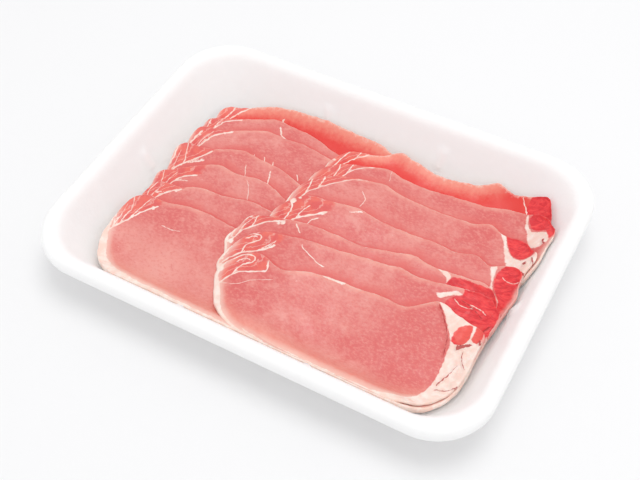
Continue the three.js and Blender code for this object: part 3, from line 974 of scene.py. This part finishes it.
def rearmost_colour(m, lean, ragged):
    """The rearmost slices: painted shade, a deep red, in the crease at the wall's foot, and painted light
    shining through, pale orange, at the top.
    """
    climb = m.math("ADD", m.value("climb"), m.math("MULTIPLY", ragged, 5.0))
    # Painted shade: deep red in the crease at the wall's foot.
    lean = m.tint(lean, CREASE_SHADE, m.step(climb, 24.0, 10.0))
    # Painted light: pale orange where light shines through the top.
    lean = m.tint(lean, TOP_LIGHT_THROUGH, m.step(climb, 9.5, 0.5), m.step(m.value("tone"), 0.9, 0.2))
    return m.tint(lean, CREAM_DEEP, m.step(climb, 2.0, 0.3), 0.5)


def left_end_colour(m, lean, ragged, wide_ragged):
    """The redder muscle at a slice's left end, with thin pale lines along its first seam."""
    finger = m.step(m.math("ADD", m.value("finger"), wide_ragged), 0.0, 1.0)
    red = m.mix(m.step(m.noise(5, 2), 0.35, 0.65), FINGER, FINGER_WARM)
    lean = m.tint(lean, red, finger, 0.75)
    lines = m.math("PINGPONG", m.math("MULTIPLY_ADD", ragged, 2.4, m.value("finger")), 1.3)
    return m.tint(lean, CREAM_DEEP, m.step(lines, 0.30, 0.08), m.math("MULTIPLY", finger, 0.35))


def right_end_colour(m, lean, muscle, grain):
    """The dark folded muscle at a slice's right end, its folds painted as light and shade: deep red in the
    hollows and a painted orange highlight on the ridges; lighter where its tone is pale.
    """
    fold_light_and_shade = m.noise(4, 4, 0.6, m.moved((0.5, 1.3, 1.0), turn=-25), 1.5)
    # Painted fold shading: deep red in the hollows, brighter red on the ridges.
    dark = m.mix(m.step(fold_light_and_shade, 0.38, 0.62), MUSCLE_DEEP, MUSCLE)
    # Painted highlight on the fold ridges.
    dark = m.tint(dark, MUSCLE_PALE_AND_HIGHLIGHT, m.step(fold_light_and_shade, 0.60, 0.72), 0.6)
    # Paler muscle where its tone is pale.
    dark = m.tint(dark, MUSCLE_PALE_AND_HIGHLIGHT, m.step(m.value("tone"), -0.2, -1.2), 0.6)
    return m.mix(muscle, lean, m.tint(dark, FINGER, m.step(grain, 0.5, 0.8), 0.4))


def fat_share(m, muscle, ragged, wide_ragged):
    """Seams, knobs, the end's fat, and the rim, which is fainter away from the front."""
    seam = stroke_share(m, "seam", m.math("MULTIPLY", ragged, 0.5))
    knob = m.step(m.math("ADD", m.value("knob"), wide_ragged), 0.3, -0.4)
    end_fat = m.step(m.math("ADD", m.value("fat"), wide_ragged), 0.3, -0.3)
    end_fat = m.math("MULTIPLY", end_fat, m.math("SUBTRACT", 1.0, muscle))
    rim = m.step(m.math("ADD", m.value("rim_fat"), wide_ragged), 0.35, -0.35)
    rim = m.math("MULTIPLY", rim, m.math("SUBTRACT", 1.0, m.math("MULTIPLY", muscle, 0.85)))
    rim = m.math("MULTIPLY", rim, m.math("SUBTRACT", 1.0, m.math("MULTIPLY", away_from_front(m), 0.4)))
    return m.math("MAXIMUM", m.math("MAXIMUM", end_fat, knob), m.math("MAXIMUM", seam, rim))


def away_from_front(m):
    """0 along a slice's front edge and 1 far behind it."""
    return m.step(m.value("from_front"), 14.0, 26.0)


def pork_material():
    m = Shader("pork")
    fine = m.noise(0.8, 3, 0.6)
    ragged = m.math("SUBTRACT", m.noise(2.2, 3, 0.6), 0.5)
    wide_ragged = m.math("MULTIPLY", ragged, 1.8)
    blotch = m.noise(8, 3, 0.55)
    grain = m.noise(1.2, 3, 0.65, m.moved((0.65, 1.0, 1.0), turn=65))
    muscle = m.step(m.math("ADD", m.value("muscle"), wide_ragged), 0.3, -0.3)

    lean = eye_colour(m, blotch, grain)
    lean = overlap_colour(m, lean, blotch)
    lean = rearmost_colour(m, lean, ragged)
    lean = left_end_colour(m, lean, ragged, wide_ragged)
    lean = right_end_colour(m, lean, muscle, grain)
    glow = m.math("MULTIPLY", m.step(m.value("rim_fat"), 4.5, 0.0), 0.55)
    lean = m.tint(lean, CREAM_DEEP, glow, m.math("SUBTRACT", 1.0, away_from_front(m)))

    cream = m.mix(m.step(m.noise(4, 3), 0.35, 0.7), CREAM_DEEP, CREAM)
    colour = m.tint(lean, cream, fat_share(m, muscle, ragged, wide_ragged), 0.92)
    crack = stroke_share(m, "crack", m.math("MULTIPLY", ragged, 0.7))
    # Painted shade: dark red in the cracks.
    m.join(m.tint(colour, CRACK_SHADE, crack, 0.9), m.shader.inputs["Base Color"])

    m.fill(m.shader.inputs["Subsurface Weight"], 0.15)
    m.fill(m.shader.inputs["Subsurface Radius"], (1.0, 0.35, 0.28))
    m.fill(m.shader.inputs["Subsurface Scale"], 0.0007)
    m.join(m.step(m.noise(6, 3), -0.4, 1.4), m.shader.inputs["Roughness"])
    m.fill(m.shader.inputs["Coat Weight"], 0.15)
    m.fill(m.shader.inputs["Coat Roughness"], 0.25)
    relief = m.math("ADD", m.math("MULTIPLY", fine, 0.5), m.math("MULTIPLY", grain, 0.5))
    m.join(m.bump(relief, 0.22, 0.5), m.shader.inputs["Normal"])
    return m.material


# ------------------------------------------------------------- geometry nodes
class Tree:
    """A small helper that adds geometry nodes to one tree and joins them."""

    def __init__(self, name, inputs):
        self.tree = bpy.data.node_groups.new(name, "GeometryNodeTree")
        self.tree.interface.new_socket("Geometry", in_out="INPUT", socket_type="NodeSocketGeometry")
        self.tree.interface.new_socket("Geometry", in_out="OUTPUT", socket_type="NodeSocketGeometry")
        for title, kind in inputs:
            self.tree.interface.new_socket(title, in_out="INPUT", socket_type=kind)
        self.given = self.tree.nodes.new("NodeGroupInput").outputs

    def join(self, source, target):
        self.tree.links.new(source, target)

    def node(self, kind, settings=(), **inputs):
        made = self.tree.nodes.new(kind)
        for key, value in dict(settings).items():
            setattr(made, key, value)
        for key, value in inputs.items():
            self.fill(made.inputs[key.replace("_", " ")], value)
        return made

    def fill(self, socket, value):
        if isinstance(value, bpy.types.NodeSocket):
            self.join(value, socket)
        else:
            socket.default_value = value

    def math(self, operation, *values):
        made = self.tree.nodes.new("ShaderNodeMath")
        made.operation = operation
        for socket, value in zip(made.inputs, values):
            self.fill(socket, value)
        return made.outputs[0]

    def finish(self, geometry, material):
        """Ends the tree; both shapes are made facing inwards, so their faces are turned outwards."""
        outward = self.node("GeometryNodeFlipFaces", Mesh=geometry).outputs[0]
        smooth = self.node("GeometryNodeSetShadeSmooth", Geometry=outward).outputs[0]
        real = self.node("GeometryNodeRealizeInstances", Geometry=smooth).outputs[0]
        dressed = self.node("GeometryNodeSetMaterial", Geometry=real, Material=material).outputs[0]
        output = self.tree.nodes.new("NodeGroupOutput")
        self.join(dressed, output.inputs[0])


def run_tree(piece, tree, values, name):
    """Runs a tree on a piece and returns its result as a plain mesh object."""
    modifier = piece.modifiers.new("shape", "NODES")
    modifier.node_group = tree.tree
    for item in tree.tree.interface.items_tree:
        if item.item_type == "SOCKET" and item.in_out == "INPUT" and item.name in values:
            modifier[item.identifier] = values[item.name]
    view = bpy.context.evaluated_depsgraph_get()
    mesh = bpy.data.meshes.new_from_object(piece.evaluated_get(view), depsgraph=view)
    mesh.name = name
    made = bpy.data.objects.new(name, mesh)
    bpy.context.scene.collection.objects.link(made)
    old = piece.data
    bpy.data.objects.remove(piece)
    bpy.data.meshes.remove(old)
    return made


# ------------------------------------------------------------------------ tray
CORNER_STEPS = 26
STRAIGHT_STEPS = 2.0             # mm between points on the straight walls


def tray_path():
    """Points round the tray: where they sit between the corner centres (-1 to 1 each way),
    the way out, and how much of a lug they carry."""
    spots = []
    outs = []
    lugs = []
    half = (TRAY_LENGTH / 2 - CORNER_RADIUS, TRAY_WIDTH / 2 - CORNER_RADIUS)
    for side in range(4):
        angle = math.pi / 2 * side
        out = (round(math.cos(angle)), round(math.sin(angle)))
        along = half[1] if side % 2 == 0 else half[0]
        steps = round(2 * along / STRAIGHT_STEPS)
        for k in range(steps + 1):
            share = -1 + 2 * k / steps
            spots.append((out[0] - out[1] * share, out[1] + out[0] * share, 0))
            outs.append((out[0], out[1], 0))
            at = abs(share) * along
            across = at if side % 2 == 0 else abs(at - LUG_X)
            lugs.append(math.cos(math.pi / 2 * min(1, across / LUG_HALF_WIDTH)) ** 1.3)
        corner = (out[0] - out[1], out[1] + out[0], 0)
        for k in range(1, CORNER_STEPS):
            turn = angle + math.pi / 2 * k / CORNER_STEPS
            spots.append(corner)
            outs.append((math.cos(turn), math.sin(turn), 0))
            lugs.append(0.0)
    return spots, outs, lugs


def tray_section():
    """Insets, heights and lug shares from the foot, over the lip, to the floor."""
    points = np.array(FOOT + OUTER_WALL + LIP_ROLL + LIP_INNER + INNER_WALL + FLOOR_FILLET)
    line = smooth_line(points, SECTION_STEPS)
    line[:, 0] = np.maximum(line[:, 0], 0)
    line[:, 1] = np.clip(line[:, 1], 0, LIP_TOP)
    inner = np.arange(len(line)) > LIP_START * SECTION_STEPS
    top = smooth_step(0, 4.5, LUG_TOP - line[:, 1])
    foot = smooth_step(0, 3, line[:, 1] - LUG_BOTTOM)
    return line[:, 0], line[:, 1], LUG_DEPTH * top * foot * inner


def tray_tree():
    """Sweeps the tray's section round its path."""
    t = Tree("moulded_tray", [
        ("Length", "NodeSocketFloat"), ("Width", "NodeSocketFloat"),
        ("Corner radius", "NodeSocketFloat"), ("Corner shrink", "NodeSocketFloat"),
        ("Path points", "NodeSocketInt"), ("Section points", "NodeSocketInt"),
        ("Material", "NodeSocketMaterial"),
    ])
    g = t.given
    count = g["Path points"]
    segments = t.math("SUBTRACT", g["Section points"], 1)
    drum = t.node("GeometryNodeMeshCylinder", {"fill_type": "NGON"}, Vertices=count,
                  Side_Segments=segments, Radius=1.0, Depth=1.0)
    index = t.node("GeometryNodeInputIndex").outputs[0]
    along = t.math("MODULO", index, count)
    up = t.math("FLOOR", t.math("DIVIDE", t.math("ADD", index, 0.5), count))
    section = t.math("ADD", up, count)

    def read(name, kind, at):
        field = t.node("GeometryNodeInputNamedAttribute", {"data_type": kind}, Name=name).outputs[0]
        found = t.node("GeometryNodeSampleIndex", {"data_type": kind, "domain": "POINT"})
        t.join(g["Geometry"], found.inputs["Geometry"])
        t.join(field, found.inputs["Value"])
        t.join(at, found.inputs["Index"])
        return found.outputs[0]

    spot = read("spot", "FLOAT_VECTOR", along)
    out = read("out", "FLOAT_VECTOR", along)
    lug = read("lug", "FLOAT", along)
    inset = read("inset", "FLOAT", section)
    height = read("height", "FLOAT", section)
    lug_depth = read("lug_depth", "FLOAT", section)
    radius = t.math("SUBTRACT", g["Corner radius"], t.math("MULTIPLY", inset, g["Corner shrink"]))
    centres = []
    for size in ("Length", "Width"):
        half = t.math("SUBTRACT", t.math("MULTIPLY", g[size], 0.5), inset)
        centres.append(t.math("SUBTRACT", half, radius))
    centre = t.node("ShaderNodeCombineXYZ", X=centres[0], Y=centres[1]).outputs[0]
    reach = t.math("SUBTRACT", radius, t.math("MULTIPLY", lug, lug_depth))
    spread = t.node("ShaderNodeVectorMath", {"operation": "MULTIPLY"})
    t.join(spot, spread.inputs[0])
    t.join(centre, spread.inputs[1])
    outward = t.node("ShaderNodeVectorMath", {"operation": "SCALE"})
    t.join(out, outward.inputs[0])
    t.join(reach, outward.inputs["Scale"])
    flat = t.node("ShaderNodeVectorMath", {"operation": "ADD"})
    t.join(spread.outputs[0], flat.inputs[0])
    t.join(outward.outputs[0], flat.inputs[1])
    lift = t.node("ShaderNodeCombineXYZ", Z=height).outputs[0]
    place = t.node("ShaderNodeVectorMath", {"operation": "ADD"})
    t.join(flat.outputs[0], place.inputs[0])
    t.join(lift, place.inputs[1])
    moved = t.node("GeometryNodeSetPosition", Geometry=drum.outputs["Mesh"], Position=place.outputs[0])
    t.finish(moved.outputs[0], g["Material"])
    return t


def build_tray(skin):
    spots, outs, lugs = tray_path()
    insets, heights, depths = tray_section()
    count, levels = len(spots), len(insets)
    guide = mesh_object("tray_guide", np.zeros((count + levels, 3)), [])
    none = np.zeros(levels)
    for name, values in (("spot", spots), ("out", outs)):
        data = np.vstack([np.array(values, float), np.zeros((levels, 3))])
        guide.data.attributes.new(name, "FLOAT_VECTOR", "POINT").data.foreach_set("vector", data.ravel())
    attribute(guide.data, "lug", np.concatenate([lugs, none]))
    for name, values in (("inset", insets), ("height", heights), ("lug_depth", depths)):
        attribute(guide.data, name, np.concatenate([np.zeros(count), np.array(values) * MM]))
    return run_tree(guide, tray_tree(), {
        "Length": TRAY_LENGTH * MM, "Width": TRAY_WIDTH * MM,
        "Corner radius": CORNER_RADIUS * MM, "Corner shrink": CORNER_SHRINK,
        "Path points": count, "Section points": levels, "Material": skin,
    }, "foam_tray")


# -------------------------------------------------------------- slice relief
def relief_tree():
    """Soft relief on a slice's upper side, measured inwards, because its faces still face in here:
    the end muscle and the seams are sunk a little, and the cracks stand up."""
    t = Tree("slice_relief", [
        ("Fat lump", "NodeSocketFloat"), ("Lump size", "NodeSocketFloat"),
        ("Ripple", "NodeSocketFloat"), ("Ripple size", "NodeSocketFloat"),
        ("Seam groove", "NodeSocketFloat"), ("Muscle hollow", "NodeSocketFloat"),
        ("Crack height", "NodeSocketFloat"), ("Material", "NodeSocketMaterial"),
    ])
    g = t.given

    def read(name):
        return t.node("GeometryNodeInputNamedAttribute", {"data_type": "FLOAT"}, Name=name).outputs[0]

    def noise(size):
        made = t.node("ShaderNodeTexNoise", Scale=t.math("DIVIDE", 1.0, size), Detail=2.0)
        return t.math("SUBTRACT", made.outputs[0], 0.5)

    def falloff(value, low, high):
        made = t.node("ShaderNodeMapRange", {"interpolation_type": "SMOOTHSTEP"}, Value=value)
        made.inputs["From Min"].default_value = low
        made.inputs["From Max"].default_value = high
        return made.outputs[0]

    end = t.math("MINIMUM", read("fat"), read("muscle"))
    lump = t.math("MULTIPLY", noise(g["Lump size"]), g["Fat lump"])
    lumps = t.math("MULTIPLY", falloff(end, 1.0, -1.5), lump)
    hollow = t.math("MULTIPLY", falloff(read("muscle"), 0.6, -3.0), g["Muscle hollow"])
    ripple = t.math("MULTIPLY", noise(g["Ripple size"]), g["Ripple"])
    seam = t.math("SUBTRACT", read("seam_gap"), read("seam_half"))
    seam = t.math("MINIMUM", seam, read("knob"))
    groove = t.math("MULTIPLY", falloff(seam, 0.7, -0.4), g["Seam groove"])
    crack = t.math("SUBTRACT", read("crack_gap"), read("crack_half"))
    raised = t.math("MULTIPLY", falloff(crack, 0.8, -0.3), g["Crack height"])
    depth = t.math("ADD", t.math("ADD", lumps, hollow), t.math("ADD", ripple, groove))
    depth = t.math("SUBTRACT", depth, raised)
    inside = falloff(read("rim"), 0.1, 1.6)
    depth = t.math("MULTIPLY", depth, t.math("MULTIPLY", inside, read("top_side")))
    normal = t.node("GeometryNodeInputNormal").outputs[0]
    offset = t.node("ShaderNodeVectorMath", {"operation": "SCALE"})
    t.join(normal, offset.inputs[0])
    t.join(depth, offset.inputs["Scale"])
    moved = t.node("GeometryNodeSetPosition", Geometry=g["Geometry"], Offset=offset.outputs[0])
    t.finish(moved.outputs[0], g["Material"])
    return t


# -------------------------------------------------------------------- assembly
foam = foam_material()
pork = pork_material()

tray = build_tray(foam)
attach(tray, "root")
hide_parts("tray")

relief = relief_tree()
walls = tray_height(*np.meshgrid(GRID_X, GRID_Y))
pile = np.full(walls.shape, FLOOR_TOP)
NO_END = {"fat": [], "muscles": [], "cracks": []}
RELIEF = {
    "Fat lump": 1.6 * MM, "Lump size": 4.0 * MM, "Ripple": 0.4 * MM, "Ripple size": 9.0 * MM,
    "Seam groove": 0.15 * MM, "Muscle hollow": 0.8 * MM, "Crack height": 0.9 * MM, "Material": pork,
}
LEFT_MARKS = (LEFT_SWELLS, LEFT_SEAMS, LEFT_VEINS, LEFT_KNOBS, [NO_END] * 7, LEFT_STRIPS, LEFT_TONES)
RIGHT_MARKS = (RIGHT_SWELLS, RIGHT_SEAMS, [[]] * 7, RIGHT_KNOBS, RIGHT_ENDS, RIGHT_STRIPS, RIGHT_TONES)
for row, row_marks in ((LEFT_ROW, LEFT_MARKS), (RIGHT_ROW, RIGHT_MARKS)):
    swells, seams, veins, knobs, ends, strips, tones = row_marks
    for k in range(len(row["left"]) - 1, -1, -1):
        seed = 100 * (k + 1) + len(row["name"])
        marks = {"swells": swells[k], "seams": seams[k], "veins": veins[k], "knobs": knobs[k],
                 "end": ends[k], "strips": strips, "tones": tones}
        covering = slice_outline(row, k - 1, swells[k - 1], seed - 100)[2] if k else None
        cut = build_slice(row, k, pile, walls, marks, seed, covering)
        node = row["name"] + str(k + 1)
        piece = run_tree(cut, relief, RELIEF, "pork_" + node)
        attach(piece, "root")
        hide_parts(node)


# ------------------------------------------------------- floor, light, camera
def build_floor():
    floor = mesh_object("floor", [(-4000, -4000, 0), (4000, -4000, 0), (4000, 4000, 0), (-4000, 4000, 0)],
                        [(0, 1, 2, 3)])
    m = Shader("floor")
    m.fill(m.shader.inputs["Base Color"], linear(242, 242, 243))
    m.fill(m.shader.inputs["Roughness"], 0.8)
    floor.data.materials.append(m.material)


def soft_light(name, place, aim, size, power):
    light = bpy.data.lights.new(name, "AREA")
    light.shape = "DISK"
    light.size = size
    light.energy = power
    lamp = bpy.data.objects.new(name, light)
    lamp.location = place
    lamp.rotation_euler = (Vector(aim) - Vector(place)).to_track_quat("-Z", "Y").to_euler()
    bpy.context.scene.collection.objects.link(lamp)


def build_world(strength):
    world = bpy.data.worlds.new("studio")
    world.use_nodes = True
    world.node_tree.nodes["Background"].inputs["Color"].default_value = (1, 1, 1, 1)
    world.node_tree.nodes["Background"].inputs["Strength"].default_value = strength
    bpy.context.scene.world = world


CAMERA_AIM = (8.966, -14.361, 26.0)
CAMERA_AZIMUTH = 30.83
CAMERA_ELEVATION = 51.83
CAMERA_ROLL = -2.489
CAMERA_DISTANCE = 495.67
CAMERA_LENS = 57.39              # mm, on a sensor 36 mm wide


def build_camera():
    az, el = math.radians(CAMERA_AZIMUTH), math.radians(CAMERA_ELEVATION)
    back = Vector((math.sin(az) * math.cos(el), -math.cos(az) * math.cos(el), math.sin(el)))
    data = bpy.data.cameras.new("camera")
    data.lens = CAMERA_LENS
    data.clip_start = 0.01
    camera = bpy.data.objects.new("camera", data)
    turned = back.to_track_quat("Z", "Y").to_matrix()
    rolled = turned @ Matrix.Rotation(math.radians(CAMERA_ROLL), 3, "Z")
    camera.matrix_world = rolled.to_4x4()
    camera.location = (Vector(CAMERA_AIM) + back * CAMERA_DISTANCE) * MM
    bpy.context.scene.collection.objects.link(camera)
    bpy.context.scene.camera = camera


build_floor()
build_world(0.85)
soft_light("key", (0.12, 0.08, 1.2), (0, 0, 0.02), 0.7, 4.0)
build_camera()
bpy.context.scene.view_settings.view_transform = "Standard"
